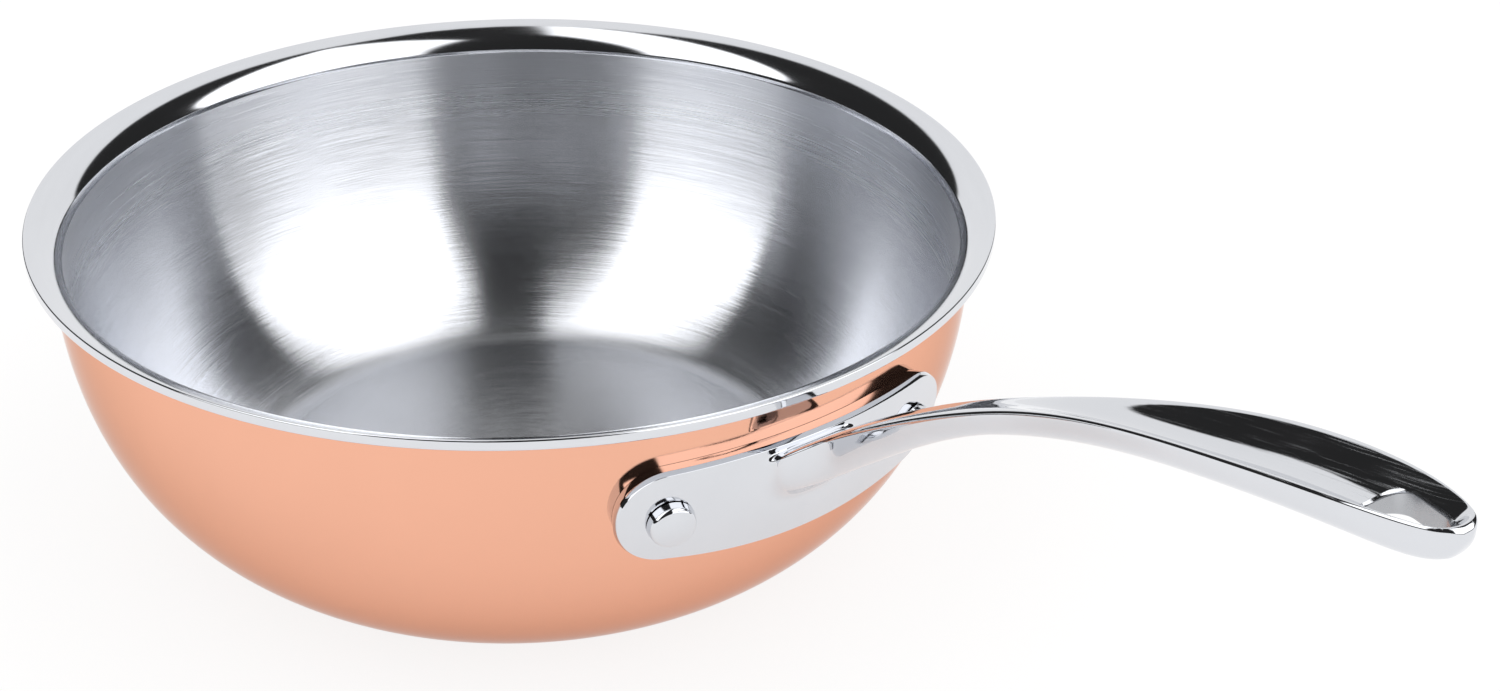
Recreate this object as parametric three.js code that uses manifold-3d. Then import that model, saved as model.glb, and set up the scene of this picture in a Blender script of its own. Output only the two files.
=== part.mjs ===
// Round-sided saute pan: a bowl pressed from three bonded plies (steel inside, aluminium in the middle,
// copper outside) and one cast stick handle, riveted on through its curved bracket.
// Millimetres, +Z up. The origin is the middle of the base and the handle points along +X.

import * as THREE from 'three';
import { LoftGeometry } from 'three/addons/geometries/LoftGeometry.js';
import { mergeVertices } from 'three/addons/utils/BufferGeometryUtils.js';
import Module from 'manifold-3d';

const wasm = await Module();
wasm.setup();

// Bowl: the inside shape
const BOWL_HEIGHT = 89; // table to the top of the lip
const MOUTH_RADIUS = 117; // inside of the wall, where it stands upright under the lip
const FLOOR_RADIUS = 76; // where the lines of floor and belly would cross
const FLOOR_CORNER = 14; // fillet between floor and belly
const BELLY_ANGLE = 30; // slope at which the belly leaves the floor, in degrees
const BELLY_FULLNESS = 0.43; // belly's tangent at the floor, as a share of its chord
const WALL_FULLNESS = 0.285; // belly's tangent at the upright wall, as a share of its chord
const UPRIGHT = 2.8; // height of the upright wall, from the end of the belly to the foot of the lip

// Lip: flared for pouring, all steel, and closing the edge of the plies
const LIP_REACH = 9; // from the inside of the wall to the outside of the lip
const LIP_FALL = 7.8; // from its top down to its foot, where it leaves the upright wall
const LIP_SLOPE = 20; // of its top at the outer edge, in degrees
const LIP_UNDERSLOPE = 28; // of its underside, in degrees
const LIP_EDGE = 2.7; // height of its outer edge
const LIP_ROUND = 0.8; // rounding of that edge

// Plies, from the inside out
const LINING = 0.6;
const CORE = 1.3;
const COPPER = 0.7;
const BOND_LINE = 0.1; // between one ply and the next

// Rivets
const RIVET_PITCH = 70; // from one rivet to the other, straight across
const RIVET_DROP = 26.6; // top of the lip down to the rivets, on the outside of the wall
const SHANK_RADIUS = 3;
const SHANK_CLEARANCE = 0.3;
const SEAT_CLEARANCE = 0.3; // under both heads
const HEAD_RADIUS = 5.9;
const HEAD_TOP_RADIUS = 4.3;
const HEAD_COLLAR = 1.2; // height of the head's straight side
const HEAD_HEIGHT = 3.6;
const INNER_HEAD_RADIUS = 5.6;
const INNER_HEAD_HEIGHT = 2.2;

// Bracket: the plate of the casting that hugs the wall
const BRACKET_CLEARANCE = 0.3; // to the copper
const BRACKET_THICKNESS = 4.3;
const BRACKET_WING = 12.8; // radius of its round ends, which lie around the rivets
const BRACKET_CROWN = 0.6; // how far its upper edge arches up in the middle
const BRACKET_SAG = 2.5; // how far its lower edge hangs down in the middle
const BRACKET_CHAMFER = 1.3; // broken edge round its front

// Handle: its top line rises from the bracket and levels out towards the tip
const ROOT_DROP = 15.6; // top of the lip down to the top line at the bracket
const TIP_RISE = 52; // top of the lip up to the tip
const HANDLE_REACH = 172; // bracket to tip, level
const RISE_ANGLE = 38.4; // slope of the top line at the bracket, in degrees
const RISE_FULLNESS = 0.57; // its tangent there, as a share of its chord
const TIP_ANGLE = -4.6; // slope of the top line at the tip, in degrees
const TIP_FULLNESS = 0.1; // its tangent there, as a share of its chord
const ROOT_WIDTH = 24.7; // at the bracket
const NECK_WIDTH = 10.5;
const GRIP_WIDTH = 22.7;
const ROOT_DEPTH = 12.5; // upright thickness at the bracket
const NECK_DEPTH = 7.3;
const GRIP_DEPTH = 10.4;
const TIP_DEPTH = 5.6; // at the very tip, where the underside has turned up
const SHOULDER_DROP = 2.6; // top line down to the widest place of a section
const FLARE_LENGTH = 16.5; // from the bracket out to where the root has become the neck
const NECK_LENGTH = 60; // from the bracket out to where the neck starts to widen
const WIDEST_BACK = 41; // from the tip back to the widest place
const TIP_ROUND = 42; // length of the oval end
const TIP_FIRMNESS = 2.3; // superellipse power of that end, seen from above
const TIP_FLAT = 2.6; // width left at the very tip
const TIP_TURN = 10; // power of the underside's turn up to the tip: the higher, the later it turns
const EDGE_FIRMNESS = 4; // superellipse power of the section's upper half
const UNDER_FIRMNESS = 2.6; // and of its lower half

// Dish: the hollow along the top of the grip, two slopes that meet in a rounded valley
const DISH_DEPTH = 6.2;
const DISH_VALLEY = 0.3; // rounding of that valley, as a share of the dish's half width
const DISH_RIM = 0.95; // level rim left beside it
const DISH_START = 42; // from the bracket
const DISH_RUN = 78; // over which it reaches its full depth
const DISH_END = 11; // over which it runs out at the tip

// Hanging hole
const HOLE_LENGTH = 17;
const HOLE_WIDTH = 11.2; // at its rounder end, towards the bowl
const HOLE_TIP_WIDTH = 8.4; // at its end towards the tip
const HOLE_END_WALL = 5; // metal left between hole and tip

// Fineness of the facets
const BOWL_STEPS = 48;
const BELLY_STEPS = 10;
const ARC_STEPS = 3;
const FLARE_STEPS = 5;
const RIVET_STEPS = 20;
const BRACKET_STEPS = 96;
const GRIP_STEPS = 26;
const TIP_STEPS = 8;
const SECTION_POINTS = 28;
const MERGE_TOLERANCE = 1e-4; // points closer than this are one
const HALVINGS = 40; // steps of the search along the top line

// Sizes that follow from the ones above
const { degToRad, lerp: mix, smoothstep } = THREE.MathUtils;
const WALL = LINING + BOND_LINE + CORE + BOND_LINE + COPPER;
const LIP_RADIUS = MOUTH_RADIUS + LIP_REACH;
const LIP_FOOT = BOWL_HEIGHT - LIP_FALL;
const BELLY_TOP = LIP_FOOT - UPRIGHT;
const RIVET_HEIGHT = BOWL_HEIGHT - RIVET_DROP;
const ROOT_HEIGHT = BOWL_HEIGHT - ROOT_DROP;
const BRACKET_FRONT = BRACKET_CLEARANCE + BRACKET_THICKNESS; // out from the copper
const PAST = 5; // how far a cutting body runs past what it cuts

const v2 = (x, y) => new THREE.Vector2(x, y);
const heading = (degrees) => v2(Math.cos(degToRad(degrees)), Math.sin(degToRad(degrees)));

// Solids: closing a geometry, cutting it and turning it back into a geometry

function solidOf(source) {
  const geometry = new THREE.BufferGeometry().copy(source);
  geometry.deleteAttribute('normal');
  geometry.deleteAttribute('uv');
  const merged = mergeVertices(geometry, MERGE_TOLERANCE);
  const index = merged.index.array;
  const kept = [];
  for (let i = 0; i < index.length; i += 3) {
    const [a, b, c] = index.slice(i, i + 3);
    if (a !== b && b !== c && c !== a) kept.push(a, b, c);
  }
  const vertProperties = new Float32Array(merged.attributes.position.array);
  const build = (triVerts) => new wasm.Manifold(new wasm.Mesh({ numProp: 3, vertProperties, triVerts }));
  const solid = build(new Uint32Array(kept));
  return solid.volume() > 0 ? solid : build(new Uint32Array(kept.reverse()));
}

function geometryOf(solid) {
  const { vertProperties, triVerts } = solid.getMesh();
  const geometry = new THREE.BufferGeometry();
  geometry.setAttribute('position', new THREE.BufferAttribute(vertProperties, 3));
  geometry.setIndex(new THREE.BufferAttribute(triVerts, 1));
  geometry.computeVertexNormals();
  return geometry;
}

function piece(name, solid, finish) {
  const material = new THREE.MeshStandardMaterial({ ...finish, metalness: 1 });
  const mesh = new THREE.Mesh(geometryOf(solid), material);
  mesh.name = name;
  return mesh;
}

// Revolves a profile of (radius, height) points about the Z axis.
function revolve(profile, steps) {
  return new THREE.LatheGeometry(profile, steps).rotateX(Math.PI / 2);
}

// Skins a row of closed sections and closes both ends.
function loft(sections) {
  return solidOf(new LoftGeometry(sections, { capStart: true, capEnd: true }));
}

// Bowl meridian

// The inside of the bowl from the axis, over floor, corner and belly, to the end of the belly.
function bellyMeridian() {
  const angle = degToRad(BELLY_ANGLE);
  const tangent = FLOOR_CORNER * Math.tan(angle / 2);
  const points = [v2(0, WALL)];
  for (let i = 0; i < ARC_STEPS; i++) {
    const turn = (angle * i) / ARC_STEPS;
    const radius = FLOOR_RADIUS - tangent + FLOOR_CORNER * Math.sin(turn);
    points.push(v2(radius, WALL + FLOOR_CORNER * (1 - Math.cos(turn))));
  }
  const low = v2(FLOOR_RADIUS, WALL).addScaledVector(heading(BELLY_ANGLE), tangent);
  const high = v2(MOUTH_RADIUS, BELLY_TOP);
  const chord = low.distanceTo(high);
  const lowPull = low.clone().addScaledVector(heading(BELLY_ANGLE), BELLY_FULLNESS * chord);
  const highPull = v2(MOUTH_RADIUS, BELLY_TOP - WALL_FULLNESS * chord);
  const belly = new THREE.CubicBezierCurve(low, lowPull, highPull, high);
  return points.concat(belly.getPoints(BELLY_STEPS));
}

// The meridian moved outwards by a distance square to itself.
function offsetMeridian(distance) {
  const line = bellyMeridian();
  const last = line.length - 1;
  return line.map((point, i) => {
    if (i === 0) return v2(0, point.y - distance);
    if (i === last) return v2(point.x + distance, point.y);
    const arriving = point.clone().sub(line[i - 1]).normalize();
    const leaving = line[i + 1].clone().sub(point).normalize();
    const along = arriving.add(leaving).normalize();
    const step = distance / along.dot(leaving);
    return v2(point.x + along.y * step, point.y - along.x * step);
  });
}

// The copper's outside moved out by a distance, from the edge of the base straight up past the lip.
function outsideLine(distance) {
  const line = offsetMeridian(WALL + distance).slice(1);
  return [...line, v2(line.at(-1).x, BOWL_HEIGHT + PAST)];
}

// Radius and downward lean of the copper's outside at a height.
function wallAt(height) {
  const line = outsideLine(0);
  const i = line.findIndex((point) => point.y >= height);
  const [low, high] = [line[i - 1], line[i]];
  const share = (height - low.y) / (high.y - low.y);
  return { radius: mix(low.x, high.x, share), lean: Math.atan2(high.x - low.x, high.y - low.y) };
}

// Plies

function lipUnderside(radius) {
  return BOWL_HEIGHT - LIP_EDGE - (LIP_RADIUS - radius) * Math.tan(degToRad(LIP_UNDERSLOPE));
}

// The lip in profile, from its underside at a radius round the edge and down its flare to the upright wall.
function lipProfile(fromRadius) {
  const top = v2(LIP_RADIUS, BOWL_HEIGHT);
  const roundStart = v2(LIP_RADIUS, BOWL_HEIGHT - LIP_ROUND);
  const roundEnd = top.clone().addScaledVector(heading(LIP_SLOPE), -LIP_ROUND);
  const edge = new THREE.QuadraticBezierCurve(roundStart, top, roundEnd);
  const flare = new THREE.QuadraticBezierCurve(
    roundEnd,
    v2(MOUTH_RADIUS, BOWL_HEIGHT - LIP_REACH * Math.tan(degToRad(LIP_SLOPE))),
    v2(MOUTH_RADIUS, LIP_FOOT),
  );
  return [
    v2(fromRadius, lipUnderside(fromRadius)),
    v2(LIP_RADIUS, lipUnderside(LIP_RADIUS)),
    ...edge.getPoints(ARC_STEPS - 1),
    ...flare.getPoints(FLARE_STEPS).slice(1),
  ];
}

function liningSolid() {
  const lip = lipProfile(MOUTH_RADIUS + LINING);
  const profile = [...offsetMeridian(LINING), ...lip, ...bellyMeridian().reverse()];
  return solidOf(revolve(profile, BOWL_STEPS));
}

// A ply between two distances from the inside surface, stopping under the lip.
function plySolid(near, far) {
  const rim = [far, near].map((distance) => {
    const radius = MOUTH_RADIUS + distance;
    return v2(radius, lipUnderside(radius) - BOND_LINE);
  });
  const profile = [...offsetMeridian(far), ...rim, ...offsetMeridian(near).reverse()];
  return solidOf(revolve(profile, BOWL_STEPS));
}

// Rivets

// Place of a rivet: its local Y runs out along the wall's normal, from the copper's outside.
function rivetPlace(side) {
  const { radius, lean } = wallAt(RIVET_HEIGHT);
  const round = side * Math.asin(RIVET_PITCH / 2 / radius);
  const spot = new THREE.Vector3(radius * Math.cos(round), radius * Math.sin(round), RIVET_HEIGHT);
  const outward = new THREE.Vector3(Math.cos(round), Math.sin(round), -Math.tan(lean)).normalize();
  const turn = new THREE.Quaternion().setFromUnitVectors(new THREE.Vector3(0, 1, 0), outward);
  return new THREE.Matrix4().compose(spot, turn, new THREE.Vector3(1, 1, 1));
}

function rivetSolid() {
  const seat = BRACKET_FRONT + SEAT_CLEARANCE;
  const top = seat + HEAD_HEIGHT;
  const shoulder = new THREE.QuadraticBezierCurve(
    v2(HEAD_TOP_RADIUS, top),
    v2(HEAD_RADIUS, top),
    v2(HEAD_RADIUS, seat + HEAD_COLLAR),
  );
  // The inner head stands off the round wall by its bend under the head and by the depth of a facet.
  const hollow = INNER_HEAD_RADIUS ** 2 / (2 * MOUTH_RADIUS);
  const facet = MOUTH_RADIUS * (1 - Math.cos(Math.PI / BOWL_STEPS));
  const innerSeat = -WALL - SEAT_CLEARANCE - hollow - facet;
  const innerTop = innerSeat - INNER_HEAD_HEIGHT;
  const innerDome = new THREE.QuadraticBezierCurve(
    v2(INNER_HEAD_RADIUS, innerSeat),
    v2(INNER_HEAD_RADIUS, innerTop),
    v2(0, innerTop),
  );
  const profile = [
    v2(0, top),
    ...shoulder.getPoints(ARC_STEPS),
    v2(HEAD_RADIUS, seat),
    v2(SHANK_RADIUS, seat),
    v2(SHANK_RADIUS, innerSeat),
    ...innerDome.getPoints(ARC_STEPS),
  ];
  return solidOf(new THREE.LatheGeometry(profile, RIVET_STEPS));
}

// A body with the two rivet holes through it.
function drilled(solid) {
  const length = 2 * (WALL + BRACKET_FRONT + PAST);
  const radius = SHANK_RADIUS + SHANK_CLEARANCE;
  return [-1, 1].reduce((body, side) => {
    const drill = new THREE.CylinderGeometry(radius, radius, length, RIVET_STEPS);
    return body.subtract(solidOf(drill.applyMatrix4(rivetPlace(side))));
  }, solid);
}

// Bracket

// Outline of the bracket laid flat, in arc length round the bowl and height, drawn in by an inset:
// round wings about the rivets, an upper edge that arches and a lower edge that hangs a little.
function bracketOutline(inset) {
  const { radius } = wallAt(RIVET_HEIGHT);
  const wing = radius * Math.asin(RIVET_PITCH / 2 / radius);
  const round = BRACKET_WING - inset;
  const [foot, head] = [RIVET_HEIGHT - round, RIVET_HEIGHT + round];
  const outline = new THREE.Shape();
  outline.absarc(wing, RIVET_HEIGHT, round, -Math.PI / 2, Math.PI / 2, false);
  outline.quadraticCurveTo(0, head + 2 * BRACKET_CROWN, -wing, head);
  outline.absarc(-wing, RIVET_HEIGHT, round, Math.PI / 2, (3 * Math.PI) / 2, false);
  outline.quadraticCurveTo(0, foot - 2 * BRACKET_SAG, wing, foot);
  return outline.getPoints(2 * ARC_STEPS).slice(1);
}

// That outline bent round the bowl, at a distance out from the copper.
function bentOutline(inset, distance) {
  const { radius } = wallAt(RIVET_HEIGHT);
  return bracketOutline(inset).map(({ x, y }) => {
    const reach = wallAt(y).radius + distance;
    return new THREE.Vector3(reach * Math.cos(x / radius), reach * Math.sin(x / radius), y);
  });
}

// The outside of the wall moved out by a distance, as a full body up past the lip.
function wallBody(distance) {
  const line = outsideLine(distance);
  const profile = [v2(0, line[0].y), ...line, v2(0, line.at(-1).y)];
  return solidOf(revolve(profile, BRACKET_STEPS));
}

// A block with the bracket's outline and broken front edge, kept where it lies behind the bracket's front.
// It starts well inside the wall and ends well in front, so that its flat ends clear the bent plate.
function bracketPlate() {
  const block = loft([
    bentOutline(0, -BRACKET_WING),
    bentOutline(0, BRACKET_FRONT - BRACKET_CHAMFER),
    bentOutline(2 * BRACKET_CHAMFER, BRACKET_FRONT + BRACKET_CHAMFER),
    bentOutline(2 * BRACKET_CHAMFER, BRACKET_FRONT + BRACKET_WING),
  ]);
  return block.intersect(wallBody(BRACKET_FRONT));
}

// Handle

const root = v2(wallAt(ROOT_HEIGHT).radius + BRACKET_FRONT, ROOT_HEIGHT);
const tip = v2(root.x + HANDLE_REACH, BOWL_HEIGHT + TIP_RISE);
const handleChord = root.distanceTo(tip);
const topLine = new THREE.CubicBezierCurve(
  root,
  root.clone().addScaledVector(heading(RISE_ANGLE), RISE_FULLNESS * handleChord),
  tip.clone().addScaledVector(heading(TIP_ANGLE), -TIP_FULLNESS * handleChord),
  tip,
);

// Height of the top line at a distance out from the bracket, found by halving.
function topHeight(out) {
  if (out <= 0) return root.y + out * Math.tan(degToRad(RISE_ANGLE));
  let [low, high] = [0, 1];
  for (let i = 0; i < HALVINGS; i++) {
    const middle = (low + high) / 2;
    if (topLine.getPoint(middle).x < root.x + out) low = middle;
    else high = middle;
  }
  return topLine.getPoint(low).y;
}

// Height of a superellipse of reach 1 at a share of that reach; it is its own inverse.
const firmArch = (share, firmness) => (1 - share ** firmness) ** (1 / firmness);

// How far a place lies into the oval end: 0 where it starts, 1 at the tip.
const tipShare = (out) => Math.max(0, 1 - (HANDLE_REACH - out) / TIP_ROUND);

function halfWidth(out) {
  const flare = (1 - smoothstep(out, 0, FLARE_LENGTH)) ** 2;
  const neck = mix(NECK_WIDTH, ROOT_WIDTH, flare);
  const full = mix(neck, GRIP_WIDTH, smoothstep(out, NECK_LENGTH, HANDLE_REACH - WIDEST_BACK));
  return (full / 2) * firmArch(tipShare(out), TIP_FIRMNESS);
}

function depthAt(out) {
  const neck = mix(ROOT_DEPTH, NECK_DEPTH, smoothstep(out, 0, NECK_LENGTH));
  const swell = Math.max(0, out - NECK_LENGTH) / (HANDLE_REACH - NECK_LENGTH);
  return mix(mix(neck, GRIP_DEPTH, swell), TIP_DEPTH, tipShare(out) ** TIP_TURN);
}

function dishAt(out) {
  const toTip = HANDLE_REACH - out;
  const start = smoothstep(out, DISH_START, DISH_START + DISH_RUN);
  return DISH_DEPTH * start * smoothstep(toTip, DISH_RIM, DISH_RIM + DISH_END);
}

// Share of the dish's depth at a place across it, given as a share of its half width.
function dishShare(aside) {
  const fall = Math.hypot(aside, DISH_VALLEY) - DISH_VALLEY;
  return Math.max(0, 1 - fall / (Math.hypot(1, DISH_VALLEY) - DISH_VALLEY));
}

// One upright section: flat-topped with firm edges above, full and round below, hollowed by the dish.
function handleSection(out) {
  const [half, depth, top] = [halfWidth(out), depthAt(out), topHeight(out)];
  const dishHalf = Math.max(half - DISH_RIM, DISH_RIM);
  const points = [];
  for (let i = 0; i < SECTION_POINTS; i++) {
    const angle = (2 * Math.PI * (i + 0.5)) / SECTION_POINTS;
    const [across, up] = [Math.cos(angle), Math.sin(angle)];
    const firmness = up > 0 ? EDGE_FIRMNESS : UNDER_FIRMNESS;
    const reach = up > 0 ? SHOULDER_DROP : SHOULDER_DROP - depth;
    const rise = reach * firmArch(Math.abs(across), firmness);
    const hollow = up > 0 ? dishShare((half * across) / dishHalf) : 0;
    const z = top - SHOULDER_DROP + rise - dishAt(out) * hollow;
    points.push(new THREE.Vector3(root.x + out, half * across, z));
  }
  return points;
}

function handleBar() {
  const tipStart = HANDLE_REACH - TIP_ROUND;
  const lastTurn = Math.asin(firmArch(TIP_FLAT / GRIP_WIDTH, TIP_FIRMNESS));
  const stations = [-BRACKET_FRONT - PAST];
  for (let i = 0; i < GRIP_STEPS; i++) stations.push((tipStart * i) / GRIP_STEPS);
  for (let i = 0; i <= TIP_STEPS; i++) {
    stations.push(tipStart + TIP_ROUND * Math.sin((lastTurn * i) / TIP_STEPS));
  }
  return loft(stations.map(handleSection));
}

// Egg-shaped slot through the end of the grip, square to the top line there.
function hangingHole() {
  const [wide, narrow] = [HOLE_WIDTH / 2, HOLE_TIP_WIDTH / 2];
  const far = HANDLE_REACH - HOLE_END_WALL - narrow;
  const near = HANDLE_REACH - HOLE_END_WALL - HOLE_LENGTH + wide;
  const side = Math.acos((wide - narrow) / (far - near)); // from the axis to where the straights touch
  const outline = new THREE.Shape();
  outline.absarc(far, 0, narrow, -side, side, false);
  outline.absarc(near, 0, wide, side, 2 * Math.PI - side, false);
  const reach = GRIP_DEPTH + PAST;
  const cutter = new THREE.ExtrudeGeometry(outline, {
    depth: 2 * reach,
    bevelEnabled: false,
    curveSegments: 2 * ARC_STEPS,
  });
  const middle = (near + far) / 2;
  cutter.translate(-middle, 0, -reach);
  cutter.rotateY(Math.atan2(topHeight(near) - topHeight(far), far - near));
  cutter.translate(root.x + middle, 0, topHeight(middle) - GRIP_DEPTH / 2);
  return solidOf(cutter);
}

function handleSolid() {
  const casting = bracketPlate().add(handleBar());
  return drilled(casting.subtract(wallBody(BRACKET_CLEARANCE)).subtract(hangingHole()));
}

// Assembly

const POLISHED_STEEL = { color: 0xd9dbe0, roughness: 0.1 };
const BRUSHED_STEEL = { color: 0xc4c6ca, roughness: 0.3 };
const ALUMINIUM = { color: 0xb9bcc0, roughness: 0.5 };
const POLISHED_COPPER = { color: 0xeea982, roughness: 0.15 };

const coreNear = LINING + BOND_LINE;
const copperNear = coreNear + CORE + BOND_LINE;

const pan = new THREE.Group();
pan.name = 'saute_pan';
pan.add(piece('steel_lining', drilled(liningSolid()), BRUSHED_STEEL));
pan.add(piece('aluminium_core', drilled(plySolid(coreNear, coreNear + CORE)), ALUMINIUM));
pan.add(piece('copper_shell', drilled(plySolid(copperNear, WALL)), POLISHED_COPPER));
pan.add(piece('handle', handleSolid(), POLISHED_STEEL));
for (const [name, side] of [['rivet_left', -1], ['rivet_right', 1]]) {
  const rivet = piece(name, rivetSolid(), POLISHED_STEEL);
  rivetPlace(side).decompose(rivet.position, rivet.quaternion, rivet.scale);
  pan.add(rivet);
}

export default pan;
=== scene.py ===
"""Round-sided saute pan: a copper-faced bowl with a brushed steel inside, and a riveted cast handle.

Every shape is a surface worked out with numpy, in metres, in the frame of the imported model: +Z up, the
origin in the middle of the base and the handle along +X.
"""

import math
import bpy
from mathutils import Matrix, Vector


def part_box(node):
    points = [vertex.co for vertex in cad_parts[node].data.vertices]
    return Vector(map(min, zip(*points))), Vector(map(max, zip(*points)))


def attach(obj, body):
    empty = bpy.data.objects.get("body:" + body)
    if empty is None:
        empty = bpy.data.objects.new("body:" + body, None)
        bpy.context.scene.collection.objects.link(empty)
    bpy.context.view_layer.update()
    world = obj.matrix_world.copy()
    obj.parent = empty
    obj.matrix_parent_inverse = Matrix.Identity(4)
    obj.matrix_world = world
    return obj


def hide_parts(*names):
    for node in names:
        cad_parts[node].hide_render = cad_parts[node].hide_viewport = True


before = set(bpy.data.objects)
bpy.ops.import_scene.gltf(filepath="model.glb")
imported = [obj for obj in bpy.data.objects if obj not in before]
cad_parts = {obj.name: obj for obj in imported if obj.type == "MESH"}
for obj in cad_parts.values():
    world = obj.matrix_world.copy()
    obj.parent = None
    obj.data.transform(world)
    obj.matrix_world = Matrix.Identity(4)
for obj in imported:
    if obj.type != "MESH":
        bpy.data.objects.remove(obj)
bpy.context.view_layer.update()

from types import SimpleNamespace

import bpy
import numpy as np
from bpy.props import FloatProperty, FloatVectorProperty, PointerProperty
from mathutils import Matrix

bl_info = {
    "name": "Saute Pan",
    "version": (1, 0, 0),
    "blender": (4, 5, 0),
    "location": "3D View > Sidebar > Saute Pan",
    "description": "Builds a copper-faced saute pan with a brushed steel inside and a riveted cast handle",
    "category": "Add Mesh",
}

BODY = "root"
MM = 0.001
SENSOR_WIDTH = 36
SHARP_ANGLE = math.radians(30)
FIT_TOLERANCE = 1.5 * MM

# Fineness of the surfaces
BOWL_STEPS = 288
MERIDIAN_STEPS = 64
LIP_STEPS = 12
RIVET_STEPS = 64
SECTION_STEPS = 192
BACK_ROWS = 9
BRACKET_ROWS = 26
FILLET_ROWS = 9
BAR_ROWS = 150
TIP_ROWS = 64
HOLE_STEPS = 96
FINE = 4000


# Settings

def length(name, millimetres, description):
    """A size given in millimetres and kept in metres."""
    return FloatProperty(
        name=name, description=description, default=millimetres * MM, min=0, precision=5,
        subtype="DISTANCE", unit="LENGTH",
    )


def angle(name, degrees, description):
    """An angle given in degrees and kept in radians."""
    return FloatProperty(
        name=name, description=description, default=math.radians(degrees), subtype="ANGLE", unit="ROTATION",
    )


def number(name, value, description):
    """A plain number, such as a share or a power."""
    return FloatProperty(name=name, description=description, default=value, min=0)


def colour(name, value, description):
    """A colour as linear red, green and blue."""
    return FloatVectorProperty(
        name=name, description=description, default=value, min=0, max=1, size=3, subtype="COLOR",
    )


class PanBowl(bpy.types.PropertyGroup):
    """Sizes of the bowl and its plies"""

    height: length("Height", 89, "Table to the top of the lip")
    mouth_radius: length("Mouth radius", 117, "Inside of the wall, where it stands upright under the lip")
    floor_radius: length("Floor radius", 76, "Where the lines of floor and belly would cross")
    floor_corner: length("Floor corner", 14, "Fillet between floor and belly")
    belly_angle: angle("Belly angle", 30, "Slope at which the belly leaves the floor")
    belly_fullness: number("Belly fullness", 0.43, "Belly's tangent at the floor, as a share of its chord")
    wall_fullness: number("Wall fullness", 0.285, "Belly's tangent at the wall, as a share of its chord")
    upright: length("Upright", 2.8, "Upright wall, from the belly's end to the lip's foot")
    lip_reach: length("Lip reach", 9, "From the inside of the wall to the outside of the lip")
    lip_fall: length("Lip fall", 7.8, "From the lip's top down to its foot")
    lip_slope: angle("Lip slope", 20, "Slope of the lip's top at its outer edge")
    lip_underslope: angle("Lip underslope", 28, "Slope of the lip's underside")
    lip_edge: length("Lip edge", 2.7, "Height of the lip's outer edge")
    lip_round: length("Lip round", 0.8, "Rounding of the lip's upper corner")
    polish: length("Polished band", 8.4, "Top of the lip down to where the brushing starts")
    lining: length("Lining", 0.6, "Thickness of the steel")
    core: length("Core", 1.3, "Thickness of the aluminium")
    copper: length("Copper", 0.7, "Thickness of the copper")
    bond_line: length("Bond line", 0.1, "Between one ply and the next")


class PanRivets(bpy.types.PropertyGroup):
    """Sizes of the two rivets"""

    pitch: length("Pitch", 70, "From one rivet to the other, straight across")
    drop: length("Drop", 26.6, "Top of the lip down to the rivets")
    shank_radius: length("Shank radius", 3, "Radius of the shank")
    shank_clearance: length("Shank clearance", 0.3, "Room round the shank")
    seat: length("Seat", 0.12, "Room under both heads")
    head_radius: length("Head radius", 5.9, "Radius of the outer head at its foot")
    head_height: length("Head height", 3.6, "Height of the outer head")
    crown_radius: length("Crown radius", 4.4, "Radius of the outer head's flat crown")
    crown_rise: length("Crown rise", 0.7, "How far the crown is domed")
    shoulder_hold: number("Shoulder hold", 0.8, "Share of the round shoulder's run that stays level")
    shoulder_sink: length("Shoulder sink", 0.1, "How far the shoulder falls over that share")
    collar_spread: number("Collar spread", 0.8, "Shoulder's end, as a share from crown to head radius")
    collar_level: number("Collar level", 0.5, "Height there, as a share of the outer head's height")
    foot_level: number("Foot level", 0.07, "Height of the head's widest place, as a share of its height")
    undercut: length("Undercut", 0.15, "How far the outer head is drawn in at its seat")
    inner_radius: length("Inner radius", 5.6, "Radius of the head inside the bowl")
    inner_height: length("Inner height", 2.2, "Height of the head inside the bowl")


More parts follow.
